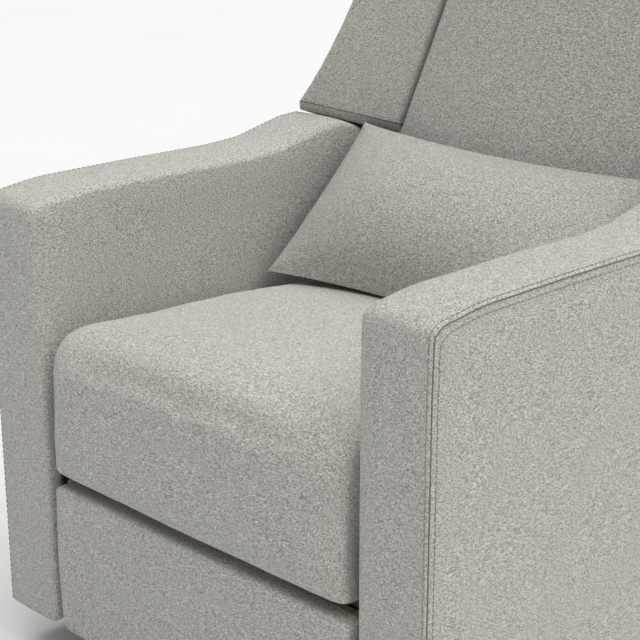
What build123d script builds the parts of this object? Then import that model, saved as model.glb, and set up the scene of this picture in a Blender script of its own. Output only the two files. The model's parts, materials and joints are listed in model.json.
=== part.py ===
"""Upholstered swivel glider chair: push-back recline, swing-out leg rest and loose lumbar pillow."""
import os
from math import cos, exp, radians, sin, sqrt

from build123d import *

os.makedirs("parts", exist_ok=True)

# Driving dimensions, in millimetres and degrees.
# X runs across the chair, Y from its front to its back and Z up from the floor.
# The swivel axis is the Z axis. Left and right are the sitter's, so left is +X.
DEPTH = 866.6  # seat front to the rear of the back
CLEAR_WIDTH = 550.0  # between the arms
ARM_WIDTH = 98.0
ARM_LENGTH = 700.0
ARM_TOP = 652.0  # straight part of the arm top, behind its soft front corner
UNDERSIDE = 65.0  # lower edge of arms, leg rest and rear panel
SEAT_OVERHANG = 13.0  # seat front ahead of the arm fronts
SEAT_TOP = 491.0  # seat where it meets the arms, at the front
SEAT_SLOPE = 0.083  # fall towards the back, per millimetre
SEAT_CROWN = 24.0
SEAT_LIP = 284.0  # lower edge of the seat's front
SIDE_GAP = 10.0  # between seat and arm, where the leg-rest bars swing
LEAN = 20.0  # of the back, from upright
CREASE_SETBACK = 599.0  # back surface at arm height, behind the arm fronts
CREASE_HEIGHT = 654.0
BACK_TOP = 416.0  # measured up the lean from the crease point
BACK_BOTTOM = -345.0
RAIL_DEPTH = 60.0  # height of the wooden seat rails
RAIL_THICK = 30.0
DECK = 322.0  # top of the seat rails
LINK_LENGTH = 140.0  # hanger link, pivot to pivot
LINK_SPACING = 180.0  # front pivots to rear pivots
PIVOT_LOW = 86.0  # height of the lower hanger pivots at rest
PIN = 6.0  # radius of the hanger and recline pins
RING_RADIUS = 230.0  # floor ring, to the middle of its tube
TUBE = 22.0
PAD_HEIGHT = 6.0
LIFT_PIVOT = (34.0, 415.0)  # leg-rest pivot, behind the arm fronts and above the floor
PILLOW_WIDTH = CLEAR_WIDTH - 38.0
PILLOW_LEAN = 47.3
PILLOW_SETBACK = 478.5  # pillow centre, behind the arm fronts
PILLOW_HEIGHT = 573.7

# Values that follow from the driving dimensions
AXIS = DEPTH / 2 - SEAT_OVERHANG  # arm fronts to the swivel axis
ARM_INNER = CLEAR_WIDTH / 2
SEAT_HALF = ARM_INNER - SIDE_GAP
SIDES = ((1, "left"), (-1, "right"))
FIT = 0.05  # radial play of a pin in its hole
LOOSE = 0.3  # radial play of a pin in padding


def setback(distance):
    """Y of a point the given distance behind the arm fronts."""
    return distance - AXIS


def save(builder, name):
    """Label a finished piece and write it under its own name."""
    builder.part.label = name
    export_step(builder.part, f"parts/{name}.step")


def rod(start, end, radius, y, z, mode=Mode.ADD):
    """A round bar along X in the current part."""
    with Locations(((start + end) / 2, y, z)):
        Cylinder(radius, abs(end - start), rotation=(0, 90, 0), mode=mode)


def block(*spans):
    """A box in the current part, from its (low, high) pairs along X, Y and Z."""
    with Locations([tuple((low + high) / 2 for low, high in spans)]):
        Box(*[abs(high - low) for low, high in spans])


# Floor base: ring, pads, cross and lower half of the swivel
CROSS_WIDTH = 50.0
PAD_COUNT = 6
PAD_RADIUS = 14.0
PAD_CUP = 5.0  # height of each pad's rim, up around the ring
PLATE = 6.0
ring_height = PAD_HEIGHT + TUBE / 2
cross_low = PAD_HEIGHT + TUBE
cross_high = cross_low + PLATE
PLATE_RADIUS = 95.0
BALL_CIRCLE = 45.0
BALL_COUNT = 12
BALL_SPACE = 12.0  # between the two swivel plates
BALL = BALL_SPACE / 2 - FIT
BALL_PLAY = 0.1  # of each ball in its cage
CAGE = 11.0  # cage edges, to either side of the ball circle
CAGE_GAP = 2.5  # cage to each plate
KING = 10.0  # radius of the swivel's centre pin
KING_HEAD = 8.0
KING_FLANGE = 6.0
KING_END = 10.0  # pin above the upper plate
KING_CHAMFER = 1.5
NUT = 18.0
NUT_HEIGHT = 7.5
NUT_GAP = 0.4
BOLT = 4.0
BOLT_CIRCLE = 75.0
HEAD = 6.5
HEAD_HEIGHT = 5.0
BOLT_END = 2.0  # bolt beyond its nut
lower_top = cross_high + PLATE
upper_low = lower_top + BALL_SPACE
upper_top = upper_low + PLATE

with BuildPart() as base_ring:
    with Locations((0, 0, ring_height)):
        Torus(RING_RADIUS, TUBE / 2)
save(base_ring, "base_ring")

with BuildPart() as floor_pads:
    with PolarLocations(RING_RADIUS, PAD_COUNT, start_angle=180 / PAD_COUNT):
        Cylinder(PAD_RADIUS, PAD_HEIGHT + PAD_CUP, align=(Align.CENTER, Align.CENTER, Align.MIN))
    with Locations((0, 0, ring_height)):
        Torus(RING_RADIUS, TUBE / 2 + FIT, mode=Mode.SUBTRACT)
save(floor_pads, "floor_pads")

with BuildPart() as base_cross:
    with BuildSketch(Plane.XY.offset(cross_low)):
        Rectangle(2 * RING_RADIUS + TUBE, CROSS_WIDTH)
        Rectangle(CROSS_WIDTH, 2 * RING_RADIUS + TUBE)
        Circle(KING + FIT, mode=Mode.SUBTRACT)
        with PolarLocations(BOLT_CIRCLE, 4):
            Circle(BOLT + FIT, mode=Mode.SUBTRACT)
    extrude(amount=PLATE)
save(base_cross, "base_cross")

with BuildPart() as lower_swivel_plate:
    with BuildSketch(Plane.XY.offset(cross_high)):
        Circle(PLATE_RADIUS)
        Circle(KING + FIT, mode=Mode.SUBTRACT)
        with PolarLocations(BOLT_CIRCLE, 4):
            Circle(BOLT + FIT, mode=Mode.SUBTRACT)
    extrude(amount=PLATE)
save(lower_swivel_plate, "lower_swivel_plate")

with BuildPart() as base_bolts:
    with BuildSketch(Plane.XY.offset(lower_top)):
        with PolarLocations(BOLT_CIRCLE, 4):
            RegularPolygon(HEAD, 6)
    extrude(amount=HEAD_HEIGHT)
    with BuildSketch(Plane.XY.offset(cross_low - HEAD_HEIGHT)):
        with PolarLocations(BOLT_CIRCLE, 4):
            Circle(BOLT)
    extrude(amount=lower_top - cross_low + HEAD_HEIGHT)
    with BuildSketch(Plane.XY.offset(cross_low - HEAD_HEIGHT)):
        with PolarLocations(BOLT_CIRCLE, 4):
            RegularPolygon(HEAD, 6)
    extrude(amount=HEAD_HEIGHT)
save(base_bolts, "base_bolts")

with BuildPart() as king_pin:
    with BuildSketch(Plane.XY.offset(cross_low - KING_HEAD)):
        Circle(KING + KING_FLANGE)
    extrude(amount=KING_HEAD)
    with BuildSketch(Plane.XY.offset(cross_low)):
        Circle(KING)
    extrude(amount=upper_top + KING_END - cross_low)
    chamfer(king_pin.edges().group_by(Axis.Z)[-1], KING_CHAMFER)
save(king_pin, "king_pin")

with BuildPart() as king_nut:
    with BuildSketch(Plane.XY.offset(upper_top + NUT_GAP)):
        RegularPolygon(NUT, 6)
        Circle(KING + FIT, mode=Mode.SUBTRACT)
    extrude(amount=NUT_HEIGHT)
save(king_nut, "king_nut")

with BuildPart() as bearing_balls:
    with Locations((0, 0, lower_top + BALL_SPACE / 2)):
        with PolarLocations(BALL_CIRCLE, BALL_COUNT):
            Sphere(BALL)
save(bearing_balls, "bearing_balls")

with BuildPart() as ball_cage:
    with BuildSketch(Plane.XY.offset(lower_top + CAGE_GAP)):
        Circle(BALL_CIRCLE + CAGE)
        Circle(BALL_CIRCLE - CAGE, mode=Mode.SUBTRACT)
        with PolarLocations(BALL_CIRCLE, BALL_COUNT):
            Circle(BALL + BALL_PLAY, mode=Mode.SUBTRACT)
    extrude(amount=BALL_SPACE - 2 * CAGE_GAP)
save(ball_cage, "ball_cage")

# Swivel frame: upper plate, two beams and the stands that the links hang from
BEAM_WIDTH = 40.0
BEAM_HEIGHT = 24.0
BEAM_SPACING = 120.0
BEAM_WALL = 3.0
BEAM_BOLTS = 100.0  # bolt spacing along each beam
SHEET = 4.0
STAND = 154.0  # inner face of each stand, from the middle
LINK = STAND + SHEET + 2.0  # inner face of each link
LINK_THICK = 5.0
GLIDE = LINK + LINK_THICK + 3.0  # inner face of each glide rail
PIN_HEAD = 4.0  # height of a pin's head, and its edge beyond the pin
PIN_SHORT = 0.6  # pin end to the sheet that passes it
CIRCLIP = 1.0  # thickness of a pin's spring clip
pivot_high = PIVOT_LOW + LINK_LENGTH

with BuildPart() as upper_swivel_plate:
    with BuildSketch(Plane.XY.offset(upper_low)):
        Circle(PLATE_RADIUS)
        Circle(KING + FIT, mode=Mode.SUBTRACT)
        with GridLocations(BEAM_BOLTS, BEAM_SPACING, 2, 2):
            Circle(BOLT + FIT, mode=Mode.SUBTRACT)
    extrude(amount=PLATE)
save(upper_swivel_plate, "upper_swivel_plate")

with BuildPart() as swivel_beams:
    with Locations((0, 0, upper_top + BEAM_HEIGHT / 2)):
        with GridLocations(1, BEAM_SPACING, 1, 2):
            Box(2 * STAND, BEAM_WIDTH, BEAM_HEIGHT)
            Box(2 * STAND, BEAM_WIDTH - 2 * BEAM_WALL, BEAM_HEIGHT - 2 * BEAM_WALL, mode=Mode.SUBTRACT)
    with Locations((0, 0, upper_top + BEAM_WALL / 2)):
        with GridLocations(BEAM_BOLTS, BEAM_SPACING, 2, 2):
            Cylinder(BOLT + FIT, BEAM_WALL, mode=Mode.SUBTRACT)
save(swivel_beams, "swivel_beams")

with BuildPart() as beam_bolts:
    with BuildSketch(Plane.XY.offset(upper_low - HEAD_HEIGHT)):
        with GridLocations(BEAM_BOLTS, BEAM_SPACING, 2, 2):
            RegularPolygon(HEAD, 6)
    extrude(amount=HEAD_HEIGHT)
    with BuildSketch(Plane.XY.offset(upper_low)):
        with GridLocations(BEAM_BOLTS, BEAM_SPACING, 2, 2):
            Circle(BOLT)
    extrude(amount=PLATE + BEAM_WALL + HEAD_HEIGHT + BOLT_END)
    with BuildSketch(Plane.XY.offset(upper_top + BEAM_WALL)):
        with GridLocations(BEAM_BOLTS, BEAM_SPACING, 2, 2):
            RegularPolygon(HEAD, 6)
    extrude(amount=HEAD_HEIGHT)
save(beam_bolts, "beam_bolts")

STAND_FOOT = BEAM_SPACING / 2 + BEAM_WIDTH / 2 + 4.0
STAND_HALF = LINK_SPACING / 2 + 24.0
STAND_HOLE = 34.0
STAND_ROUND = 18.0
stand_top = pivot_high + 20.0
stand_waist = pivot_high - 70.0

for side, name in SIDES:
    with BuildPart() as stand:
        with BuildSketch(Plane.YZ.offset(side * STAND)):
            with BuildLine():
                Polyline(
                    (-STAND_FOOT, upper_top),
                    (STAND_FOOT, upper_top),
                    (STAND_HALF, stand_waist),
                    (STAND_HALF, stand_top),
                    (-STAND_HALF, stand_top),
                    (-STAND_HALF, stand_waist),
                    close=True,
                )
            make_face()
            with Locations((0, stand_waist)):
                Circle(STAND_HOLE, mode=Mode.SUBTRACT)
            with Locations((-LINK_SPACING / 2, pivot_high), (LINK_SPACING / 2, pivot_high)):
                Circle(PIN + FIT, mode=Mode.SUBTRACT)
        extrude(amount=side * SHEET)
        fillet(stand.edges().filter_by(Axis.X).group_by(Axis.Z)[-1], STAND_ROUND)
    save(stand, f"{name}_stand")

with BuildPart() as upper_pins:
    for side, name in SIDES:
        for place in (-1, 1):
            pin_y = place * LINK_SPACING / 2
            rod(side * (STAND - PIN_HEAD), side * STAND, PIN + PIN_HEAD, pin_y, pivot_high)
            rod(side * STAND, side * (GLIDE - PIN_SHORT), PIN, pin_y, pivot_high)
save(upper_pins, "upper_pins")

with BuildPart() as upper_clips:
    for side, name in SIDES:
        for place in (-1, 1):
            pin_y = place * LINK_SPACING / 2
            clip_x = side * (GLIDE - 2 * CIRCLIP), side * (GLIDE - CIRCLIP)
            rod(*clip_x, PIN + PIN_HEAD, pin_y, pivot_high)
            rod(*clip_x, PIN + FIT, pin_y, pivot_high, mode=Mode.SUBTRACT)
save(upper_clips, "upper_clips")

# Hanger links and their bushes. The rear lower bushes have more play.
LINK_WIDTH = 30.0
BUSH = 9.0
BUSH_PROUD = 0.4
OPEN_PLAY = 0.3

for place, end in ((-1, "front"), (1, "rear")):
    link_y = place * LINK_SPACING / 2
    with BuildPart() as links:
        for side, name in SIDES:
            with BuildSketch(Plane.YZ.offset(side * LINK)):
                with Locations((link_y, (PIVOT_LOW + pivot_high) / 2)):
                    SlotCenterToCenter(LINK_LENGTH, LINK_WIDTH, rotation=90)
                with Locations((link_y, PIVOT_LOW), (link_y, pivot_high)):
                    Circle(BUSH + FIT, mode=Mode.SUBTRACT)
            extrude(amount=side * LINK_THICK)
    save(links, f"{end}_links")

    with BuildPart() as link_bushes:
        for side, name in SIDES:
            for height in (PIVOT_LOW, pivot_high):
                near = side * (LINK - BUSH_PROUD)
                far = side * (LINK + LINK_THICK + BUSH_PROUD)
                play = OPEN_PLAY if (end, height) == ("rear", PIVOT_LOW) else FIT
                rod(near, far, BUSH, link_y, height)
                rod(near, far, PIN + play, link_y, height, mode=Mode.SUBTRACT)
    save(link_bushes, f"{end}_link_bushes")

# Glide rails, which carry the seat frame on the lower pins
FLANGE = 35.0
RAIL_WEB = 38.0
PIVOT_EDGE = 16.0  # sheet below and beside a lower pivot
FRONT_RAIL = 56.0  # front faces of the seat rails, behind the arm fronts
REAR_RAIL = 465.0
front_rail_y = (setback(FRONT_RAIL), setback(FRONT_RAIL) + RAIL_THICK)
rear_rail_y = (setback(REAR_RAIL), setback(REAR_RAIL) + RAIL_THICK)
glide_end = LINK_SPACING / 2 + 30.0
rail_low = DECK - RAIL_DEPTH
RAIL_BOLT_X = GLIDE + SHEET + FLANGE / 2
rail_bolts_at = [
    (side * RAIL_BOLT_X, sum(span) / 2) for side, name in SIDES for span in (front_rail_y, rear_rail_y)
]

for side, name in SIDES:
    with BuildPart() as glide_rail:
        with BuildSketch(Plane.YZ.offset(side * GLIDE)):
            with BuildLine():
                Polyline(
                    (front_rail_y[0], rail_low),
                    (front_rail_y[0], rail_low - RAIL_WEB),
                    (-LINK_SPACING / 2 - RAIL_WEB, rail_low - RAIL_WEB),
                    (-LINK_SPACING / 2 - PIVOT_EDGE, PIVOT_LOW - PIVOT_EDGE),
                    (LINK_SPACING / 2 + PIVOT_EDGE, PIVOT_LOW - PIVOT_EDGE),
                    (glide_end, rail_low),
                    close=True,
                )
            make_face()
            with Locations((-LINK_SPACING / 2, PIVOT_LOW), (LINK_SPACING / 2, PIVOT_LOW)):
                Circle(PIN + FIT, mode=Mode.SUBTRACT)
        extrude(amount=side * SHEET)
        flange_x = (side * (GLIDE + SHEET), side * (GLIDE + SHEET + FLANGE))
        block(flange_x, (front_rail_y[0], glide_end), (rail_low - SHEET, rail_low))
        with Locations([(x, y, rail_low - SHEET / 2) for x, y in rail_bolts_at if x * side > 0]):
            Cylinder(BOLT + FIT, SHEET, mode=Mode.SUBTRACT)
    save(glide_rail, f"{name}_glide_rail")

with BuildPart() as lower_pins:
    for side, name in SIDES:
        for place in (-1, 1):
            pin_y = place * LINK_SPACING / 2
            rod(side * (GLIDE + SHEET), side * (GLIDE + SHEET + PIN_HEAD), PIN + PIN_HEAD, pin_y, PIVOT_LOW)
            rod(side * (STAND + SHEET + PIN_SHORT / 2), side * (GLIDE + SHEET), PIN, pin_y, PIVOT_LOW)
save(lower_pins, "lower_pins")

with BuildPart() as lower_clips:
    for side, name in SIDES:
        for place in (-1, 1):
            pin_y = place * LINK_SPACING / 2
            clip_x = side * (STAND + SHEET + PIN_SHORT), side * (LINK - PIN_SHORT)
            rod(*clip_x, PIN + PIN_HEAD, pin_y, PIVOT_LOW)
            rod(*clip_x, PIN + FIT, pin_y, PIVOT_LOW, mode=Mode.SUBTRACT)
save(lower_clips, "lower_clips")

# Wooden seat frame and its springs
ARM_BOLT = 5.0
ARM_BOLT_HEIGHT = DECK - RAIL_DEPTH / 2
arm_bolts_y = (setback(130.0), setback(420.0))
rail_height = (rail_low, DECK)
LAG = 40.0  # bolt length into the wood

for span, end in ((front_rail_y, "front"), (rear_rail_y, "rear")):
    with BuildPart() as seat_rail:
        block((-SEAT_HALF, SEAT_HALF), span, rail_height)
        with Locations([(x, y, rail_low + LAG / 2) for x, y in rail_bolts_at if span[0] < y < span[1]]):
            Cylinder(BOLT + FIT, LAG, mode=Mode.SUBTRACT)
    save(seat_rail, f"{end}_seat_rail")

with BuildPart() as side_rails:
    for side, name in SIDES:
        rail_x = (side * (SEAT_HALF - RAIL_THICK), side * SEAT_HALF)
        block(rail_x, (front_rail_y[1], rear_rail_y[0]), rail_height)
        for bolt_y in arm_bolts_y:
            rod(*rail_x, ARM_BOLT + FIT, bolt_y, ARM_BOLT_HEIGHT, mode=Mode.SUBTRACT)
save(side_rails, "side_seat_rails")

with BuildPart() as rail_bolts:
    with BuildSketch(Plane.XY.offset(rail_low - SHEET - HEAD_HEIGHT)):
        with Locations(rail_bolts_at):
            RegularPolygon(HEAD, 6)
    extrude(amount=HEAD_HEIGHT)
    with BuildSketch(Plane.XY.offset(rail_low - SHEET)):
        with Locations(rail_bolts_at):
            Circle(BOLT)
    extrude(amount=SHEET + LAG)
save(rail_bolts, "rail_bolts")

WIRE = 1.9
SPRING_SPACING = 90.0
SPRING_COUNT = 5
SWING = 18.0  # of each bend to either side
BENDS = 11
CLIP = (24.0, 18.0, 5.0)
spring_height = DECK + CLIP[2] / 2
clip_front = sum(front_rail_y) / 2
clip_rear = sum(rear_rail_y) / 2
spring_x = [(number - (SPRING_COUNT - 1) / 2) * SPRING_SPACING for number in range(SPRING_COUNT)]


def spring_route(x):
    """Corner points of one sinuous spring, straight at both clips."""
    first = clip_front + 1.5 * CLIP[1]
    pitch = (clip_rear - 1.5 * CLIP[1] - first) / (BENDS - 1)
    bends = [(x + SWING * (-1) ** bend, first + bend * pitch, spring_height) for bend in range(BENDS)]
    start = [(x, clip_front - CLIP[1] / 2, spring_height), (x, clip_front + CLIP[1], spring_height)]
    end = [(x, clip_rear - CLIP[1], spring_height), (x, clip_rear + CLIP[1] / 2, spring_height)]
    return start + bends + end


with BuildPart() as seat_springs:
    for x in spring_x:
        with BuildLine():
            route = FilletPolyline(*spring_route(x), radius=3 * WIRE)
        with BuildSketch(Plane(route @ 0, z_dir=route % 0)):
            Circle(WIRE)
        sweep(path=route)
save(seat_springs, "seat_springs")

with BuildPart() as spring_clips:
    with Locations([(x, y, spring_height) for x in spring_x for y in (clip_front, clip_rear)]):
        Box(*CLIP)
        Cylinder(WIRE + FIT, CLIP[1], rotation=(90, 0, 0), mode=Mode.SUBTRACT)
save(spring_clips, "spring_clips")

# Seat cushion: soft sections across the chair, with a front roll over a lip
ROLL = 58.0
LIP_ROUND = 16.0
FRONT_BULGE = 4.0
SEAT_BASE = DECK + CLIP[2] + LOOSE
SEAT_ARCH = 8.0  # rise of the seat's top between front and rear
SEAT_BOW = 5.0  # front set back at the ends
SEAT_REAR_TOP = (505.0, 447.0)
SEAT_REAR_LOW = 455.0
LIP_REAR = 54.0
SEAT_STATIONS = (-1.0, -0.95, -0.85, -0.6, -0.3, 0.0, 0.3, 0.6, 0.85, 0.95, 1.0)
SEAT_END_TUCK = 11.0
QUARTER = sin(radians(45))


def end_tuck(station, depth):
    """How far a cushion draws in near its ends, from nothing to the given depth."""
    return depth * max(0.0, (abs(station) - 0.8) / 0.2) ** 3


def seat_section(station):
    tuck = end_tuck(station, SEAT_END_TUCK)
    crown = SEAT_CROWN * (1 - station**2) - tuck
    front = setback(FRONT_BULGE - SEAT_OVERHANG) + tuck + SEAT_BOW * station**2
    low = SEAT_LIP + tuck / 2
    front_top = SEAT_TOP + crown - SEAT_SLOPE * ROLL
    rear = (setback(SEAT_REAR_TOP[0]), SEAT_REAR_TOP[1] + crown)
    roll_middle = (front + ROLL * (1 - QUARTER), front_top - ROLL * (1 - QUARTER))
    lip_middle = (front + LIP_ROUND * (1 - QUARTER), low + LIP_ROUND * (1 - QUARTER))
    top_middle = ((front + ROLL + rear[0]) / 2, (front_top + rear[1]) / 2 + SEAT_ARCH)
    with BuildSketch(Plane.YZ.offset(station * SEAT_HALF)) as section:
        with BuildLine():
            Line((setback(LIP_REAR), low), (front + LIP_ROUND, low))
            ThreePointArc((front + LIP_ROUND, low), lip_middle, (front, low + LIP_ROUND))
            ThreePointArc(
                (front, low + LIP_ROUND),
                (front - FRONT_BULGE, (low + LIP_ROUND + front_top - ROLL) / 2),
                (front, front_top - ROLL),
            )
            ThreePointArc((front, front_top - ROLL), roll_middle, (front + ROLL, front_top))
            ThreePointArc((front + ROLL, front_top), top_middle, rear)
            Line(rear, (setback(SEAT_REAR_LOW), SEAT_BASE))
            Line((setback(SEAT_REAR_LOW), SEAT_BASE), (setback(LIP_REAR), SEAT_BASE))
            Line((setback(LIP_REAR), SEAT_BASE), (setback(LIP_REAR), low))
        make_face()
    return section.sketch


seat_sections = [seat_section(station) for station in SEAT_STATIONS]
with BuildPart() as seat_cushion:
    loft(seat_sections)
save(seat_cushion, "seat_cushion")

# Arms: boards inside a padded cover, with the pivots and bolts that pass through
PADDING = 12.0
PANEL_THICK = 15.0
POST_DEPTH = 40.0
POST_WIDTH = 50.0
BOLT_BITE = 4.0  # arm bolt beyond its panel
TOP_RAIL = 25.0
BOARD_TOP = 590.0
frame_front = setback(14.0)
frame_rear = setback(ARM_LENGTH - 20.0)
frame_low = UNDERSIDE + 14.0
panel_x = (ARM_INNER + PADDING, ARM_INNER + PADDING + PANEL_THICK)
post_x = (panel_x[1], panel_x[1] + POST_WIDTH)
SPACER = 10.0
lift_y, lift_z = setback(LIFT_PIVOT[0]), LIFT_PIVOT[1]
LIFT_PIN = 5.0
LIFT_HEAD = 2.0
LIFT_GAP = 0.2  # pivot head to its bar
SWING_BAR = 5.0
bar_inner = SEAT_HALF + (SIDE_GAP - SWING_BAR) / 2

# The leaning plane of the back: X across, Y up the lean, Z forward from the rear of its frame
PAD_FRONT = 100.0
lean_sin = sin(radians(LEAN))
lean_cos = cos(radians(LEAN))
back_y = setback(CREASE_SETBACK) + PAD_FRONT * lean_cos
back_z = CREASE_HEIGHT - PAD_FRONT * lean_sin
BACK = Plane((0, back_y, back_z), x_dir=(1, 0, 0), z_dir=(0, -lean_cos, lean_sin))
FRAME_THICK = 28.0
BACK_HALF = ARM_INNER - 5.0
RECLINE_UP = -300.0
recline = BACK.from_local_coords((0, RECLINE_UP, FRAME_THICK / 2))
STILE = (BACK_HALF - 42.0, BACK_HALF - 12.0)

with BuildPart() as arm_bolts:
    for side, name in SIDES:
        for bolt_y in arm_bolts_y:
            head_x = SEAT_HALF - RAIL_THICK
            rod(side * (head_x - HEAD_HEIGHT), side * head_x, ARM_BOLT + PIN_HEAD, bolt_y, ARM_BOLT_HEIGHT)
            rod(side * head_x, side * (panel_x[1] + BOLT_BITE), ARM_BOLT, bolt_y, ARM_BOLT_HEIGHT)
save(arm_bolts, "arm_bolts")

with BuildPart() as arm_spacers:
    for side, name in SIDES:
        for bolt_y in arm_bolts_y:
            span = side * SEAT_HALF, side * ARM_INNER
            rod(*span, SPACER, bolt_y, ARM_BOLT_HEIGHT)
            rod(*span, ARM_BOLT + FIT, bolt_y, ARM_BOLT_HEIGHT, mode=Mode.SUBTRACT)
save(arm_spacers, "arm_spacers")

with BuildPart() as leg_rest_pivots:
    for side, name in SIDES:
        head_x = side * (bar_inner - LIFT_HEAD), side * (bar_inner - LIFT_GAP)
        rod(*head_x, LIFT_PIN + PIN_HEAD, lift_y, lift_z)
        rod(side * (bar_inner - LIFT_GAP), side * panel_x[1], LIFT_PIN, lift_y, lift_z)
save(leg_rest_pivots, "leg_rest_pivots")

with BuildPart() as recline_pivots:
    for side, name in SIDES:
        rod(side * STILE[0], side * panel_x[1], PIN, recline.Y, recline.Z)
save(recline_pivots, "recline_pivots")


def pass_through(side, play):
    """Clear the bolts and pivots that go into one arm, with the given radial play."""
    for bolt_y in arm_bolts_y:
        bolt_x = side * ARM_INNER, side * (panel_x[1] + BOLT_BITE)
        rod(*bolt_x, ARM_BOLT + play, bolt_y, ARM_BOLT_HEIGHT, mode=Mode.SUBTRACT)
    pivot_x = side * ARM_INNER, side * panel_x[1]
    rod(*pivot_x, LIFT_PIN + play, lift_y, lift_z, mode=Mode.SUBTRACT)
    rod(*pivot_x, PIN + play, recline.Y, recline.Z, mode=Mode.SUBTRACT)


SWOOP = (370.0, 430.0, 485.0, 518.0, 545.0)  # along the rise from the level top to its peak under the wing
SWOOP_RISE = (-5.4, -2.6, 7.5, 14.4, 15.6)  # height there against the level top
ARM_FALL = 35.0  # drop from the level top to the rear end, beneath the wing
CORNER = 10.0
ARM_LEVEL = 80.0  # where the level top begins, behind the arm front
ARM_NOSE = 11.0  # drop of the soft front corner
# Distance out from the inner face, and how far the cover draws in there
ARM_STATIONS = (
    (0.0, 9.0), (5.0, 3.0), (16.0, 0.0), (ARM_WIDTH / 2, -0.8),
    (ARM_WIDTH - 8.0, 0.0), (ARM_WIDTH - 2.5, 1.0), (ARM_WIDTH, 4.0),
)


def arm_section(side, station, tuck):
    """Side view of an arm at a distance out from its inner face, drawn in by the tuck.

    It has a soft front corner, a level top, a rise to the wing and a fall beneath it.
    """
    top = ARM_TOP - tuck
    front, rear = setback(tuck), setback(ARM_LENGTH - tuck)
    nose = (front + CORNER, top - ARM_NOSE)
    level = (setback(ARM_LEVEL), top)
    rise = [(setback(distance), top + height) for distance, height in zip(SWOOP, SWOOP_RISE)]
    fall = (rear - 1.5 * CORNER, top - ARM_FALL)
    heel = (rear, fall[1] - 2 * CORNER)
    with BuildSketch(Plane.YZ.offset(side * (ARM_INNER + station))) as section:
        with BuildLine():
            Line((front, UNDERSIDE), (front, nose[1] - CORNER))
            ThreePointArc((front, nose[1] - CORNER), (front + 0.3 * CORNER, nose[1] - 0.3 * CORNER), nose)
            ThreePointArc(nose, (setback(ARM_LEVEL / 2), top - 0.27 * ARM_NOSE), level)
            Line(level, rise[0])
            ThreePointArc(*rise[:3])
            ThreePointArc(*rise[2:])
            Line(rise[4], fall)
            ThreePointArc(fall, (rear - 0.35 * CORNER, fall[1] - 0.7 * CORNER), heel)
            Line(heel, (rear, UNDERSIDE))
            Line((rear, UNDERSIDE), (front, UNDERSIDE))
        make_face()
    return section.sketch


for side, name in SIDES:
    panel_span = tuple(side * x for x in panel_x)
    post_span = tuple(side * x for x in post_x)

    with BuildPart() as arm_panel:
        block(panel_span, (frame_front, frame_rear), (frame_low, BOARD_TOP - TOP_RAIL))
        pass_through(side, FIT)
    save(arm_panel, f"{name}_arm_panel")

    with BuildPart() as arm_posts:
        for post_y in (frame_front, frame_rear - POST_DEPTH):
            block(post_span, (post_y, post_y + POST_DEPTH), (frame_low, BOARD_TOP - TOP_RAIL))
    save(arm_posts, f"{name}_arm_posts")

    with BuildPart() as top_rail:
        block((panel_span[0], post_span[1]), (frame_front, frame_rear), (BOARD_TOP - TOP_RAIL, BOARD_TOP))
    save(top_rail, f"{name}_arm_top_rail")

    arm_sections = [arm_section(side, station, tuck) for station, tuck in ARM_STATIONS]
    with BuildPart() as arm_cover:
        loft(arm_sections)
        for board in (arm_panel, arm_posts, top_rail):
            add(board.part, mode=Mode.SUBTRACT)
        pass_through(side, LOOSE)
    save(arm_cover, f"{name}_arm_cover")

REAR_PANEL = (ARM_LENGTH - 32.0, ARM_LENGTH - 10.0)
REAR_PANEL_TOP = 308.0  # clear of the back when it reclines
REAR_PANEL_ROUND = 8.0

with BuildPart() as rear_panel:
    panel_y = [setback(distance) for distance in REAR_PANEL]
    block((-ARM_INNER, ARM_INNER), panel_y, (UNDERSIDE, REAR_PANEL_TOP))
    fillet(rear_panel.faces().sort_by(Axis.Y)[-1].edges().filter_by(Axis.X), REAR_PANEL_ROUND)
save(rear_panel, "rear_panel")

# Back: wooden frame boards in the leaning plane
STILE_TOP = 370.0
RAIL_WIDTH = 40.0
frame_bottom = BACK_BOTTOM + PADDING
frame_top = BACK_TOP - PADDING
CREASE_HALF = ARM_INNER - 55.0  # half-width of the middle pad at arm height
CREASE_TAPER = 0.122  # narrowing up the lean, per millimetre
WING_BOTTOM = 1.0
WING_TOP_HALF = ARM_INNER - 7.0
WING_FLARE = 98.0  # extra half-width of the back at arm height
FLARE_HEIGHT = 160.0  # distance over which the flare fades
TOP_CORNER = 44.0
WING_BOARD = (16.0, 110.0, 240.0)  # bottom, middle and top of each wing board, up the lean
WING_INSET = PADDING + 2.0
WEB_WIDTH = 50.0
WEB_THICK = 2.0
WEB_UP = (-220.0, -120.0, 90.0, 180.0, 270.0)


def crease_half(up):
    """Half-width of the middle pad at a height up the lean."""
    return CREASE_HALF - CREASE_TAPER * up


def wing_half(up):
    """Half-width of the whole back above the arms, rounded off at the top corners."""
    over = max(0.0, up - (BACK_TOP - TOP_CORNER))
    rounding = TOP_CORNER - sqrt(TOP_CORNER**2 - over**2)
    return WING_TOP_HALF + WING_FLARE * exp(-up / FLARE_HEIGHT) - rounding


def across_back(up):
    """Plane square to the lean at a height up it, X across and Y forward."""
    return Plane(BACK.from_local_coords((0, up, 0)), x_dir=(1, 0, 0), z_dir=-BACK.y_dir)


def back_board(x, up):
    """Sketch of a rectangular board on the frame's rear plane, from two (low, high) pairs."""
    with BuildSketch(BACK) as board:
        with Locations((sum(x) / 2, sum(up) / 2)):
            Rectangle(abs(x[1] - x[0]), abs(up[1] - up[0]))
    return board.sketch


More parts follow.
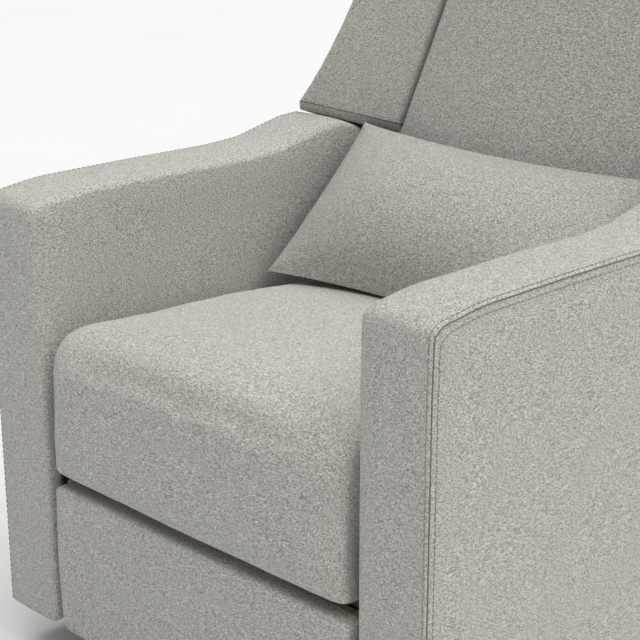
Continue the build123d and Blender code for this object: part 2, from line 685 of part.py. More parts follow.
back_boards = []
for side, name in SIDES:
    with BuildPart() as stile:
        extrude(back_board((side * STILE[0], side * STILE[1]), (frame_bottom, STILE_TOP)), amount=FRAME_THICK)
        rod(side * STILE[0], side * STILE[1], PIN + FIT, recline.Y, recline.Z, mode=Mode.SUBTRACT)
    save(stile, f"{name}_back_stile")
    back_boards.append(stile)

    with BuildPart() as wing_board:
        with BuildSketch(BACK):
            with BuildLine():
                edge = [(side * (wing_half(up) - WING_INSET), up) for up in WING_BOARD]
                ThreePointArc(*edge)
                Polyline(edge[2], (side * STILE[1], edge[2][1]), (side * STILE[1], edge[0][1]), edge[0])
            make_face()
        extrude(amount=FRAME_THICK)
    save(wing_board, f"{name}_wing_board")
    back_boards.append(wing_board)

with BuildPart() as back_rails:
    for low in (frame_bottom, -RAIL_WIDTH / 2, frame_top - RAIL_WIDTH):
        extrude(back_board((-STILE[0], STILE[0]), (low, low + RAIL_WIDTH)), amount=FRAME_THICK)
save(back_rails, "back_rails")

with BuildPart() as back_webbing:
    for up in WEB_UP:
        strap = back_board((-STILE[0], STILE[0]), (up - WEB_WIDTH / 2, up + WEB_WIDTH / 2))
        extrude(strap.moved(Location(BACK.z_dir * (FRAME_THICK - WEB_THICK))), amount=WEB_THICK)
save(back_webbing, "back_webbing")

# Outer back: padded shell behind the frame, wide above the arms and narrow between them
BACK_REAR = 22.0  # padding behind the frame at the top
BACK_SWELL = 48.0  # extra depth at the bottom
SWELL_END = -280.0
REAR_ROUND = 18.0
REAR_CROWN = 4.0
TOP_DRAW = (24.0, 12.0)  # length and depth of the rounding at the top
FOOT_DRAW = 18.0  # depth of the rounding at the bottom
LEDGE = 4.0  # lower part set in from the upper part
WING_STATIONS = (WING_BOTTOM, 12.0, 60.0, 120.0, 190.0, 260.0, 330.0, 380.0, 404.0, BACK_TOP)
LOWER_STATIONS = (BACK_BOTTOM, -335.0, SWELL_END, -140.0, 14.0)


def rear_depth(up):
    """Padding behind the frame: more towards the bottom, then drawn in at both ends."""
    swell = BACK_REAR + BACK_SWELL * (BACK_TOP - max(up, SWELL_END)) / (BACK_TOP - SWELL_END)
    at_top = TOP_DRAW[1] * max(0.0, (up - BACK_TOP + TOP_DRAW[0]) / TOP_DRAW[0]) ** 2
    at_foot = FOOT_DRAW * max(0.0, (SWELL_END - up) / (SWELL_END - BACK_BOTTOM)) ** 2
    return swell - at_top - at_foot


def shell_section(up, half, set_in):
    rear = set_in - rear_depth(up)
    corner = (half - REAR_ROUND * (1 - QUARTER), rear + REAR_ROUND * (1 - QUARTER))
    with BuildSketch(across_back(up)) as section:
        with BuildLine():
            Line((-half, FRAME_THICK), (half, FRAME_THICK))
            Line((half, FRAME_THICK), (half, rear + REAR_ROUND))
            ThreePointArc((half, rear + REAR_ROUND), corner, (half - REAR_ROUND, rear))
            ThreePointArc((half - REAR_ROUND, rear), (0, rear - REAR_CROWN), (REAR_ROUND - half, rear))
            ThreePointArc((REAR_ROUND - half, rear), (-corner[0], corner[1]), (-half, rear + REAR_ROUND))
            Line((-half, rear + REAR_ROUND), (-half, FRAME_THICK))
        make_face()
    return section.sketch


upper_shell = [shell_section(up, wing_half(up), 0.0) for up in WING_STATIONS]
lower_shell = [shell_section(up, BACK_HALF, LEDGE) for up in LOWER_STATIONS]
with BuildPart() as outer_back:
    loft(upper_shell)
    loft(lower_shell)
    for board in back_boards:
        add(board.part, mode=Mode.SUBTRACT)
    hollow = back_board((-STILE[0], STILE[0]), (frame_bottom, frame_top))
    extrude(hollow, amount=FRAME_THICK, mode=Mode.SUBTRACT)
    rod(-BACK_HALF, BACK_HALF, PIN + LOOSE, recline.Y, recline.Z, mode=Mode.SUBTRACT)
save(outer_back, "outer_back")

# Middle pad of the back, crowned both ways
PAD_SIDE = 92.0  # front of the pad at the crease
PAD_CROWN = 16.0
PAD_ROUND = 14.0
PAD_END = 20.0  # length and depth of the rounding at top and bottom
CREASE_GAP = 0.4
PAD_STATIONS = (BACK_BOTTOM, -325.0, -150.0, 60.0, 260.0, 396.0, BACK_TOP)


def pad_section(up):
    ends = max(0.0, (BACK_BOTTOM + PAD_END - up) / PAD_END, (up - BACK_TOP + PAD_END) / PAD_END)
    half = crease_half(up) - CREASE_GAP
    side = PAD_SIDE - PAD_END * ends
    shoulder = (half - PAD_ROUND, side)
    corner = (half - PAD_ROUND * (1 - QUARTER), side - PAD_ROUND * (1 - QUARTER))
    with BuildSketch(across_back(up)) as section:
        with BuildLine():
            Line((half, FRAME_THICK), (-half, FRAME_THICK))
            Line((-half, FRAME_THICK), (-half, side - PAD_ROUND))
            ThreePointArc((-half, side - PAD_ROUND), (-corner[0], corner[1]), (-shoulder[0], side))
            ThreePointArc((-shoulder[0], side), (0, side + PAD_CROWN * (1 - ends / 2)), shoulder)
            ThreePointArc(shoulder, corner, (half, side - PAD_ROUND))
            Line((half, side - PAD_ROUND), (half, FRAME_THICK))
        make_face()
    return section.sketch


pad_sections = [pad_section(up) for up in PAD_STATIONS]
with BuildPart() as back_pad:
    loft(pad_sections)
save(back_pad, "back_pad")

# Wings: padded side panels that come forward of the middle pad, each with a tongue down beside it
WING_FRONT = 157.0  # outer front edge, ahead of the frame's rear
WING_ROUND = 14.0
WING_BULGE = 5.0
WING_END = (8.0, 12.0)  # length of the rounding at the bottom and the top
WING_DRAW = 14.0  # its depth
TONGUE_FRONT = 84.0
TONGUE_TOP = WING_BOTTOM + 10.0


def wing_section(side, up):
    at_bottom = (WING_BOTTOM + WING_END[0] - up) / WING_END[0]
    at_top = (up - BACK_TOP + WING_END[1]) / WING_END[1]
    ends = max(0.0, at_bottom, at_top)
    near = crease_half(up) + CREASE_GAP
    far = wing_half(up) - WING_DRAW / 2 * ends
    low = PAD_SIDE - WING_DRAW * ends
    high = WING_FRONT - WING_DRAW * ends
    ridge = (far - WING_ROUND, high)
    corner = (far - WING_ROUND * (1 - QUARTER), high - WING_ROUND * (1 - QUARTER))
    slope = ((near + ridge[0]) / 2, (low + high) / 2 + WING_BULGE)

    def at(point):
        return (side * point[0], point[1])

    with BuildSketch(across_back(up)) as section:
        with BuildLine():
            Line(at((near, FRAME_THICK)), at((near, low)))
            ThreePointArc(at((near, low)), at(slope), at(ridge))
            ThreePointArc(at(ridge), at(corner), at((far, high - WING_ROUND)))
            Line(at((far, high - WING_ROUND)), at((far, FRAME_THICK)))
            Line(at((far, FRAME_THICK)), at((near, FRAME_THICK)))
        make_face()
    return section.sketch


for side, name in SIDES:
    wing_sections = [wing_section(side, up) for up in WING_STATIONS]
    with BuildPart() as wing:
        loft(wing_sections)
        with BuildSketch(BACK.offset(FRAME_THICK)):
            with BuildLine():
                Polyline(
                    (side * (crease_half(BACK_BOTTOM) + CREASE_GAP), BACK_BOTTOM),
                    (side * (crease_half(TONGUE_TOP) + CREASE_GAP), TONGUE_TOP),
                    (side * BACK_HALF, TONGUE_TOP),
                    (side * BACK_HALF, BACK_BOTTOM),
                    close=True,
                )
            make_face()
        extrude(amount=TONGUE_FRONT - FRAME_THICK)
    save(wing, f"{name}_wing")

# Leg rest: padded panel on a board between two swing bars
REST_TOP = SEAT_LIP - 9.0
REST_BOARD = (28.0, 40.0)
REST_HALF = bar_inner - 5.5
REST_ROUND = 11.0
REST_TUCK = 6.0
REST_LIFT = 2.0  # pad above the arms' lower edge
REST_BULGE = 4.0
REST_EDGE = 5.0  # padding beyond the board's edges
BAR_WIDTH = 26.0
BAR_END = 110.0
SCREW = 3.0
SCREW_LENGTH = 25.0  # in the board
SCREW_HEIGHTS = (130.0, 220.0)
rest_board_y = (setback(REST_BOARD[0]), setback(REST_BOARD[1]))
bar_outer = bar_inner + SWING_BAR


def rest_section(station):
    tuck = end_tuck(station, REST_TUCK)
    front = setback(tuck)
    low, high = UNDERSIDE + REST_LIFT + tuck, REST_TOP - tuck
    quarter = REST_ROUND * (1 - QUARTER)
    with BuildSketch(Plane.YZ.offset(station * REST_HALF)) as section:
        with BuildLine():
            Line((rest_board_y[0], low), (front + REST_ROUND, low))
            ThreePointArc(
                (front + REST_ROUND, low), (front + quarter, low + quarter), (front, low + REST_ROUND)
            )
            ThreePointArc(
                (front, low + REST_ROUND), (front - REST_BULGE, (low + high) / 2), (front, high - REST_ROUND)
            )
            ThreePointArc(
                (front, high - REST_ROUND), (front + quarter, high - quarter), (front + REST_ROUND, high)
            )
            Line((front + REST_ROUND, high), (rest_board_y[0], high))
            Line((rest_board_y[0], high), (rest_board_y[0], low))
        make_face()
    return section.sketch


rest_sections = [rest_section(station) for station in SEAT_STATIONS]
with BuildPart() as leg_rest_pad:
    loft(rest_sections)
save(leg_rest_pad, "leg_rest_pad")

with BuildPart() as leg_rest_board:
    block((-bar_inner, bar_inner), rest_board_y, (UNDERSIDE + REST_LIFT + REST_EDGE, REST_TOP - REST_EDGE))
    for side, name in SIDES:
        for height in SCREW_HEIGHTS:
            hole_x = side * (bar_inner - SCREW_LENGTH), side * bar_inner
            rod(*hole_x, SCREW + FIT, lift_y, height, mode=Mode.SUBTRACT)
save(leg_rest_board, "leg_rest_board")

for side, name in SIDES:
    with BuildPart() as swing_bar:
        with BuildSketch(Plane.YZ.offset(side * bar_inner)):
            with Locations((lift_y, (lift_z + BAR_END) / 2)):
                SlotCenterToCenter(lift_z - BAR_END, BAR_WIDTH, rotation=90)
            with Locations((lift_y, lift_z)):
                Circle(LIFT_PIN + FIT, mode=Mode.SUBTRACT)
            with Locations([(lift_y, height) for height in SCREW_HEIGHTS]):
                Circle(SCREW + FIT, mode=Mode.SUBTRACT)
        extrude(amount=side * SWING_BAR)
    save(swing_bar, f"{name}_swing_bar")

with BuildPart() as leg_rest_screws:
    for side, name in SIDES:
        for height in SCREW_HEIGHTS:
            rod(side * (bar_inner - SCREW_LENGTH), side * bar_outer, SCREW, lift_y, height)
save(leg_rest_screws, "leg_rest_screws")

# Lumbar pillow: lens-shaped sections, thin at the ends and drawn in between the corners
PILLOW_STATIONS = (-1.0, -0.92, -0.7, -0.35, 0.0, 0.35, 0.7, 0.92, 1.0)
PILLOW_CORNER = 138.0  # half-height at the corners
PILLOW_DRAW = 12.0  # less half-height in the middle
PILLOW_FULL = 62.0  # half-thickness in the middle
PILLOW_EDGE = 5.0


def pillow_section(station):
    half = PILLOW_CORNER - PILLOW_DRAW * (1 - station**2)
    full = PILLOW_EDGE + (PILLOW_FULL - PILLOW_EDGE) * (1 - abs(station) ** 2.6) ** 0.8
    centre = (station * PILLOW_WIDTH / 2, setback(PILLOW_SETBACK), PILLOW_HEIGHT)
    up = (0, sin(radians(PILLOW_LEAN)), cos(radians(PILLOW_LEAN)))
    with BuildSketch(Plane(centre, x_dir=up, z_dir=(1, 0, 0))) as section:
        with BuildLine():
            ThreePointArc((-half, 0), (0, full), (half, 0))
            ThreePointArc((half, 0), (0, -full), (-half, 0))
        make_face()
    return section.sketch


pillow_sections = [pillow_section(station) for station in PILLOW_STATIONS]
with BuildPart() as lumbar_pillow:
    loft(pillow_sections)
save(lumbar_pillow, "lumbar_pillow")
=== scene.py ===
"""Dressed swivel glider chair: soft forms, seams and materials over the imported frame."""
import json
from math import cos, exp, radians, sin, sqrt

import bmesh
import bpy
import numpy as np
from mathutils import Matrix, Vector, noise


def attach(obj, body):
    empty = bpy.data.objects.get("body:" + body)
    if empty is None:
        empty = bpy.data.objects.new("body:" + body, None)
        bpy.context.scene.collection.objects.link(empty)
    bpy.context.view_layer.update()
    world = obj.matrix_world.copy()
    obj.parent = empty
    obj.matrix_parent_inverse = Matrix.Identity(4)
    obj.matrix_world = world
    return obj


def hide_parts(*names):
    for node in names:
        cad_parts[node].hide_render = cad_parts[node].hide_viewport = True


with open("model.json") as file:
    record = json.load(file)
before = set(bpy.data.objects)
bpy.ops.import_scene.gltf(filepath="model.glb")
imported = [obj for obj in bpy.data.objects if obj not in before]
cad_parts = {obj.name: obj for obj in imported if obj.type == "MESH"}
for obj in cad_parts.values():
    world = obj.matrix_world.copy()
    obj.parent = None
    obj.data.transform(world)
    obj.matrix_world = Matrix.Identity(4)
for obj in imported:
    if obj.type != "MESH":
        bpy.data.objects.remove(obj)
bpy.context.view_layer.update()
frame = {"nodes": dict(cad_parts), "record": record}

MM = 0.001
AXIS = 420.3  # arm fronts to the swivel axis; forms are laid out in mm behind the arm fronts
ARM_INNER, UNDERSIDE = 275.0, 65.0
EDGE_FROM, EDGE_SPAN = 0.93, 0.07  # share of a half width where its side edge starts to round
SIDES = ((1, "left"), (-1, "right"))


# Mesh helpers

def unit(v):
    return v / max(np.linalg.norm(v), 1e-9)


def eased(count):
    """Stations from -1 to 1, closer together near both ends."""
    return np.sin(np.linspace(-1, 1, count) * np.pi / 2)


def upright(p, x):
    """Ring at one place across the chair, from points (distance behind the arm fronts, height)."""
    return np.stack([np.full(len(p), x), p[:, 0] - AXIS, p[:, 1]], 1)


def outline(corners, count):
    """Closed outline through (u, v, radius) corners, rounded by corner cutting and evenly spaced."""
    points = []
    for i, (u, v, r) in enumerate(corners):
        c = np.array((u, v))
        before = np.array(corners[i - 1][:2]) - c
        after = np.array(corners[(i + 1) % len(corners)][:2]) - c
        points += [c + r * unit(before), c, c + r * unit(after)]
    p = np.array(points)
    for _ in range(3):
        q = np.roll(p, -1, 0)
        p = np.stack([0.75 * p + 0.25 * q, 0.25 * p + 0.75 * q], 1).reshape(-1, 2)
    p = np.roll(p, 12, 0)
    step = np.linalg.norm(np.roll(p, -1, 0) - p, axis=1)
    at = np.concatenate([[0], np.cumsum(step)])
    closed = np.vstack([p, p[:1]])
    t = np.linspace(0, at[-1], count, endpoint=False)
    return np.stack([np.interp(t, at, closed[:, k]) for k in (0, 1)], 1)


def new_object(name, verts, faces, body, replaces=()):
    mesh = bpy.data.meshes.new(name)
    mesh.from_pydata([tuple(v) for v in np.asarray(verts) * MM], [], faces)
    bm = bmesh.new()
    bm.from_mesh(mesh)
    bmesh.ops.remove_doubles(bm, verts=bm.verts, dist=1e-6)
    bmesh.ops.recalc_face_normals(bm, faces=bm.faces)
    bm.to_mesh(mesh)
    bm.free()
    mesh.shade_smooth()
    obj = bpy.data.objects.new(name, mesh)
    bpy.context.scene.collection.objects.link(obj)
    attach(obj, body)
    if replaces:
        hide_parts(*replaces)
    return obj


def loft(name, rings, body, replaces=(), crown=(0.0, 0.0), steps=9):
    """Closed soft form through rings of equal count, with each end domed by its crown."""
    def cap(ring, inner, height):
        centre = ring.mean(0)
        normal = unit(centre - inner.mean(0))
        shares = np.linspace(1, 0, steps + 1)[1:-1]
        domes = [centre + s * (ring - centre) + normal * height * (1 - s * s) for s in shares]
        return domes, centre + normal * height

    start, first = cap(rings[0], rings[1], crown[0])
    end, last = cap(rings[-1], rings[-2], crown[1])
    rows = start[::-1] + list(rings) + end
    n = len(rows[0])
    faces = []
    for r in range(len(rows) - 1):
        for i in range(n):
            j = (i + 1) % n
            faces.append((r * n + i, r * n + j, (r + 1) * n + j, (r + 1) * n + i))
    total, top = len(rows) * n, (len(rows) - 1) * n
    for i in range(n):
        j = (i + 1) % n
        faces += [(total, j, i), (total + 1, top + i, top + j)]
    return new_object(name, np.vstack(rows + [first[None], last[None]]), faces, body, replaces)


def coords(obj):
    co = np.empty(len(obj.data.vertices) * 3, np.float32)
    obj.data.vertices.foreach_get("co", co)
    return co.reshape(-1, 3).astype(float)


def set_coords(obj, co):
    obj.data.vertices.foreach_set("co", co.astype(np.float32).ravel())
    obj.data.update()


def normals(obj):
    n = np.empty(len(obj.data.vertices) * 3, np.float32)
    obj.data.vertex_normals.foreach_get("vector", n)
    return n.reshape(-1, 3).astype(float)


def undulate(obj, height, size, seed):
    """Uneven filling under the cover: slow swells along the normals, in mm."""
    co = coords(obj)
    swell = [noise.noise(Vector(p) / (size * MM) + Vector((seed, 0, 0))) for p in co]
    set_coords(obj, co + normals(obj) * np.array(swell)[:, None] * height * MM)


def smooth(obj, passes):
    bm = bmesh.new()
    bm.from_mesh(obj.data)
    for _ in range(passes):
        bmesh.ops.smooth_vert(bm, verts=bm.verts, factor=0.5,
                              use_axis_x=True, use_axis_y=True, use_axis_z=True)
    bm.to_mesh(obj.data)
    bm.free()


def remesh(obj, voxel):
    mod = obj.modifiers.new("remesh", "REMESH")
    mod.mode, mod.voxel_size = "VOXEL", voxel * MM
    graph = bpy.context.evaluated_depsgraph_get()
    mesh = bpy.data.meshes.new_from_object(obj.evaluated_get(graph))
    obj.modifiers.clear()
    obj.data = mesh
    obj.data.shade_smooth()


CLOTH_FRAMES = 20


def puff(obj, shrink, pressure, cap):
    """Draw a pad in, fill it as cloth under pressure and cap how far its points move, in mm."""
    start = coords(obj) - normals(obj) * shrink * MM
    set_coords(obj, start)
    mod = obj.modifiers.new("cloth", "CLOTH")
    s = mod.settings
    s.quality, s.mass, s.air_damping = 4, 0.3, 2.0
    s.tension_stiffness = s.compression_stiffness = 15
    s.shear_stiffness, s.bending_stiffness = 6, 0.6
    s.use_pressure, s.uniform_pressure_force = True, pressure
    s.effector_weights.gravity = 0
    mod.point_cache.frame_start, mod.point_cache.frame_end = 1, CLOTH_FRAMES
    scene = bpy.context.scene
    for number in range(1, CLOTH_FRAMES + 1):
        scene.frame_set(number)
    graph = bpy.context.evaluated_depsgraph_get()
    mesh = bpy.data.meshes.new_from_object(obj.evaluated_get(graph))
    moved = np.array([v.co for v in mesh.vertices])
    bpy.data.meshes.remove(mesh)
    obj.modifiers.clear()
    scene.frame_set(1)
    move = moved - start
    size = np.linalg.norm(move, axis=1, keepdims=True)
    set_coords(obj, start + move * np.minimum(1, cap * MM / np.maximum(size, 1e-9)))


def subdivide(obj):
    mod = obj.modifiers.new("subdivision", "SUBSURF")
    mod.levels = mod.render_levels = 1


def line(name, paths, radius, body, material):
    """Thread or seam cord along one or more open paths, in mm."""
    curve = bpy.data.curves.new(name, "CURVE")
    curve.dimensions, curve.bevel_depth, curve.bevel_resolution = "3D", radius * MM, 2
    curve.use_fill_caps = True
    for path in paths:
        spline = curve.splines.new("POLY")
        spline.points.add(len(path) - 1)
        for point, p in zip(spline.points, path):
            point.co = (*(np.asarray(p) * MM), 1)
    curve.materials.append(material)
    obj = bpy.data.objects.new(name, curve)
    bpy.context.scene.collection.objects.link(obj)
    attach(obj, body)
    return obj


def stitches(path, length=5.5, gap=2.5):
    """Short runs of thread along a path."""
    path = np.asarray(path)
    at = np.concatenate([[0], np.cumsum(np.linalg.norm(np.diff(path, axis=0), axis=1))])
    runs = []
    for begin in np.arange(0, at[-1] - length, length + gap):
        t = np.linspace(begin, begin + length, 3)
        runs.append(np.stack([np.interp(t, at, path[:, k]) for k in range(3)], 1))
    return runs


# Materials

def node(tree, kind, **values):
    made = tree.nodes.new(kind)
    for key, value in values.items():
        if key in made.inputs:
            made.inputs[key].default_value = value
        else:
            setattr(made, key, value)
    return made


def ramp(tree, source, stops):
    made = tree.nodes.new("ShaderNodeValToRGB")
    while len(made.color_ramp.elements) < len(stops):
        made.color_ramp.elements.new(0.5)
    for element, (place, colour) in zip(made.color_ramp.elements, stops):
        element.position, element.color = place, (*colour, 1)
    tree.links.new(source, made.inputs["Fac"])
    return made.outputs["Color"]


def material(name, roughness, metallic=0.0):
    made = bpy.data.materials.new(name)
    made.use_nodes = True
    shader = made.node_tree.nodes["Principled BSDF"]
    shader.inputs["Roughness"].default_value = roughness
    shader.inputs["Metallic"].default_value = metallic
    return made, made.node_tree, shader


def streaks(tree, scale, detail=2.0):
    """Noise in the piece's own frame, stretched by a scale per metre along each axis."""
    place = node(tree, "ShaderNodeTexCoord").outputs["Object"]
    mapping = node(tree, "ShaderNodeMapping")
    mapping.inputs["Scale"].default_value = scale
    tree.links.new(place, mapping.inputs["Vector"])
    made = node(tree, "ShaderNodeTexNoise", Scale=1.0, Detail=detail, Roughness=0.6)
    tree.links.new(mapping.outputs["Vector"], made.inputs["Vector"])
    return made.outputs["Fac"]


def mix(tree, kind, share, a, b):
    made = node(tree, "ShaderNodeMix", data_type="RGBA", blend_type=kind)
    made.inputs["Factor"].default_value = share
    tree.links.new(a, made.inputs["A"])
    tree.links.new(b, made.inputs["B"])
    return made.outputs["Result"]


def bump(tree, shader, source, distance, strength):
    made = node(tree, "ShaderNodeBump", Distance=distance, Strength=strength)
    tree.links.new(source, made.inputs["Height"])
    tree.links.new(made.outputs["Normal"], shader.inputs["Normal"])


def weave(name, weft, tone=1.0):
    """Heathered cloth: pale and dark yarn flecks that run along the weft axis, crossed by a finer warp."""
    made, tree, shader = material(name, 0.95)
    fine, long = 1050.0, 300.0  # noise cells per metre across and along a yarn
    weft_scale = [fine, fine, fine]
    weft_scale[weft] = long
    warp_scale = [long * 1.6] * 3
    warp_scale[weft] = fine * 1.1
    dark, mid, pale = [[c * tone for c in rgb] for rgb in
                       ((0.14, 0.125, 0.10), (0.47, 0.452, 0.41), (0.82, 0.81, 0.775))]
    yarn = ramp(tree, streaks(tree, weft_scale, 1.0), ((0.34, dark), (0.5, mid), (0.64, pale)))
    cross = ramp(tree, streaks(tree, warp_scale, 1.0), ((0.33, dark), (0.5, mid), (0.66, pale)))
    cloth = mix(tree, "MIX", 0.4, yarn, cross)
    slow = ramp(tree, streaks(tree, [v / 3 for v in weft_scale], 0.0),
                ((0.3, (0.88, 0.88, 0.87)), (0.7, (0.97, 0.97, 0.97))))
    tree.links.new(mix(tree, "MULTIPLY", 1.0, cloth, slow), shader.inputs["Base Color"])
    shader.inputs["Sheen Weight"].default_value = 0.15
    shader.inputs["Sheen Roughness"].default_value = 0.6
    shader.inputs["Specular IOR Level"].default_value = 0.2
    bump(tree, shader, cloth, 0.0008, 0.3)
    return made


def surface(name, low, high, roughness, scale, metallic=0.0, depth=0.0002, strength=0.2):
    """A finish whose colour wanders between two tones, with a bump to match."""
    made, tree, shader = material(name, roughness, metallic)
    grain = streaks(tree, scale, 4.0)
    tree.links.new(ramp(tree, grain, ((0.3, low), (0.7, high))), shader.inputs["Base Color"])
    bump(tree, shader, grain, depth, strength)
    return made


cloth_x = weave("cloth_weft_across", 0)
cloth_y = weave("cloth_weft_along", 1)
cloth_pillow = weave("cloth_pillow", 0, 0.94)
thread = surface("thread", (0.20, 0.19, 0.165), (0.30, 0.285, 0.25), 0.8, (900, 900, 900))
# Seam cords and wing hem: a dark tone that is painted shadow, standing in for the shade in each seam's crease
shadow_seam = surface("painted_seam_shadow", (0.13, 0.12, 0.10), (0.2, 0.19, 0.165), 0.95, (600, 600, 600))
finishes = {
    "upholstery": cloth_x,
    "frame_wood": surface("frame_wood", (0.42, 0.27, 0.14), (0.66, 0.48, 0.29), 0.6, (60, 9, 60)),
    "black_steel": surface("black_steel", (0.012, 0.012, 0.013), (0.03, 0.03, 0.032), 0.42, (700, 700, 700)),
    "plain_steel": surface("plain_steel", (0.45, 0.45, 0.46), (0.62, 0.62, 0.62), 0.35, (40, 900, 900), 1.0),
    "nylon": surface("nylon", (0.74, 0.72, 0.67), (0.82, 0.81, 0.77), 0.5, (300, 300, 300)),
    "pad_rubber": surface("pad_rubber", (0.015, 0.015, 0.015), (0.035, 0.035, 0.035), 0.85, (500, 500, 500)),
    "webbing": surface("webbing", (0.03, 0.03, 0.032), (0.09, 0.09, 0.09), 0.9, (900, 250, 250)),
}
for sub in frame["record"]["subparts"]:
    shown = frame["nodes"][sub["node"]]
    shown.data.materials.clear()
    shown.data.materials.append(finishes[sub["material_slot"]])


def dress(obj, finish):
    obj.data.materials.clear()
    obj.data.materials.append(finish)
    return obj


# Arms: a front-and-top band sewn to flat side panels, with a twin-stitched seam at the outer edge
ARM_COUNT, ARM_LENGTH, ARM_SEAM_END = 330, 700.0, 566.0
ARM_STATIONS = (  # distance from the arm's inner face, and how far the outline is drawn in there
    (0, 9), (0.8, 6.4), (2.5, 4.0), (5, 2.4), (9, 1.1), (14, 0.3), (22, 0), (36, -0.6), (50, -0.9),
    (66, -0.7), (80, -0.3), (90, 0), (94, 0.5), (96.4, 1.5), (97.6, 3), (98, 5))


def arm_outline(t):
    """Side view of an arm as (distance behind its front, height), drawn in by t."""
    low = UNDERSIDE + max(t - 1, 0)
    return outline((
        (t, low, 5), (t, 300, 60), (t - 0.6, 560, 30), (t + 1, 636 - t, 6), (12 + t, 645 - t, 9),
        (80, 652 - t, 30), (230, 650 - t, 60), (372, 646.4 - t, 25), (432, 648.8 - t, 22), (488, 660 - t, 14),
        (517, 666 - t, 12), (556, 668 - t, 16), (ARM_LENGTH - 12 - t, 618 - t, 12),
        (ARM_LENGTH - t, 590 - t, 12), (ARM_LENGTH - t, low, 5)), ARM_COUNT)


def arm_ring(side, station, tuck):
    return upright(arm_outline(tuck), side * (ARM_INNER + station))


def edge_run(side, station, tuck):
    """Part of an arm's outline up the front and along the top, as far as the wing."""
    p = arm_ring(side, station, tuck)
    front = np.argmin(np.hypot(p[:, 1] + AXIS, p[:, 2] - UNDERSIDE - 6))
    p = np.roll(p, -front, 0)
    if p[3, 2] < p[0, 2]:
        p = np.roll(p[::-1], 1, 0)
    stop = np.argmax(p[:, 1] > ARM_SEAM_END - AXIS)
    return p[:stop]


for side, name in SIDES:
    arm = loft(f"{name}_arm_padding", [arm_ring(side, s, t) for s, t in ARM_STATIONS], "chair",
               [f"{name}_arm_cover"], crown=(-0.4, 2.6))
    undulate(arm, 1.0, 130, side * 3.1)
    dress(arm, cloth_y)
    line(f"{name}_arm_seam", [edge_run(side, 97.9, 4.6)], 0.9, "chair", shadow_seam)
    line(f"{name}_arm_topstitch", stitches(edge_run(side, 98.4, 13.5)), 0.55, "chair", thread)
    line(f"{name}_arm_edge_stitch", stitches(edge_run(side, 95.0, 0.35)), 0.5, "chair", thread)

# Seat: crowned pad with a front roll
SEAT_LIP, SEAT_TOP, SEAT_SLOPE, SEAT_CROWN = 284.0, 491.0, 0.083, 24.0
SEAT_HALF, SEAT_BASE, SEAT_REAR = 265.0, 327.5, 505.0


def seat_ring(station):
    """Side view of the seat at a share of its half width."""
    tuck = 9 * max(0.0, (abs(station) - EDGE_FROM) / EDGE_SPAN) ** 2.4
    crown = SEAT_CROWN * (1 - station**2) - tuck
    front = -13 + 5 * station**2 + tuck
    base, lip = SEAT_BASE + tuck / 3, SEAT_LIP + tuck / 2
    p = outline((
        (54, base, 3), (54, lip, 3), (front + 3, lip, 17), (front - 1, 340, 20),
        (front + 3, SEAT_TOP + crown - 3, 118), (285, SEAT_TOP - SEAT_SLOPE * 285 + crown + 7, 120),
        (SEAT_REAR - tuck, 447 + crown, 12), (455, base, 5)), 220)
    return upright(p, station * SEAT_HALF)


seat = loft("seat_padding", [seat_ring(s) for s in eased(61)], "chair", ["seat_cushion"], crown=(0.2, 0.2))
remesh(seat, 6)
smooth(seat, 3)
puff(seat, 4.0, 4.0, 5.0)
smooth(seat, 3)
undulate(seat, 1.3, 150, 8.2)
limited = coords(seat)
limited[:, 0] = np.clip(limited[:, 0], -SEAT_HALF * MM, SEAT_HALF * MM)
limited[:, 2] = np.maximum(limited[:, 2], (SEAT_LIP - 1.5) * MM)
set_coords(seat, limited)
subdivide(seat)
dress(seat, cloth_x)

# Back: pad between two wings, and the outer shell, all in the leaning plane
LEAN = radians(20)
BACK_ORIGIN = np.array((0, 599 - AXIS + 100 * cos(LEAN), 654 - 100 * sin(LEAN)))
UP = np.array((0, sin(LEAN), cos(LEAN)))
AHEAD = np.array((0, -cos(LEAN), sin(LEAN)))
BACK_TOP, BACK_BOTTOM, FRAME_THICK, BACK_HALF = 416.0, -345.0, 28.0, 270.0
WING_BOTTOM, WING_RADIUS, WING_EDGE = 1.0, 44.0, 160.0
PAD_FACE, TONGUE_FACE, CREASE_GAP = 92.0, 83.0, 0.6
HEM_HEIGHT, HEM_CLEAR = 13.0, 4.0
SHELL_BEND = -280.0  # the outer back curves in below this


def on_back(p, up):
    return BACK_ORIGIN + p[:, :1] * np.array((1, 0, 0)) + up * UP + p[:, 1:] * AHEAD


def crease_half(up):
    return 220 - 0.122 * up


def wing_half(up):
    over = max(0.0, up - (BACK_TOP - WING_RADIUS))
    return 268 + 98 * exp(-up / 160) - (WING_RADIUS - sqrt(WING_RADIUS**2 - over**2))


def end_share(up, low, high, reach):
    """0 between two ends, rising to 1 at each within its reach."""
    return max(0.0, (low + reach - up) / reach, (up - high + reach) / reach)


def pad_ring(up):
    ends = end_share(up, BACK_BOTTOM, BACK_TOP, 30) ** 2
    half, side = crease_half(up) - CREASE_GAP - 3 * ends, PAD_FACE - 22 * ends
    quarter, middle = side + 12 - 6 * ends, side + 15.5 - 8 * ends
    return on_back(outline((
        (half, FRAME_THICK, 1), (half, side, 14), (half * 0.55, quarter, 30), (0, middle, 40),
        (-half * 0.55, quarter, 30), (-half, side, 14), (-half, FRAME_THICK, 1)), 150), up)


def spread(low, high, count, reach=30):
    """Stations from low to high, closer together near both ends."""
    near = np.array((0, 0.06, 0.16, 0.3, 0.5, 0.75, 1)) * reach
    middle = np.linspace(low + reach, high - reach, count)[1:-1]
    return np.concatenate([low + near, middle, (high - near)[::-1]])


pad_rings = [pad_ring(u) for u in spread(BACK_BOTTOM, BACK_TOP, 70)]
pad = loft("back_padding", pad_rings, "back", ["back_pad"], (0.5, 3))
puff(pad, 3.0, 4.0, 3.0)
smooth(pad, 1)
undulate(pad, 1.2, 160, 4.4)
dress(pad, cloth_x)


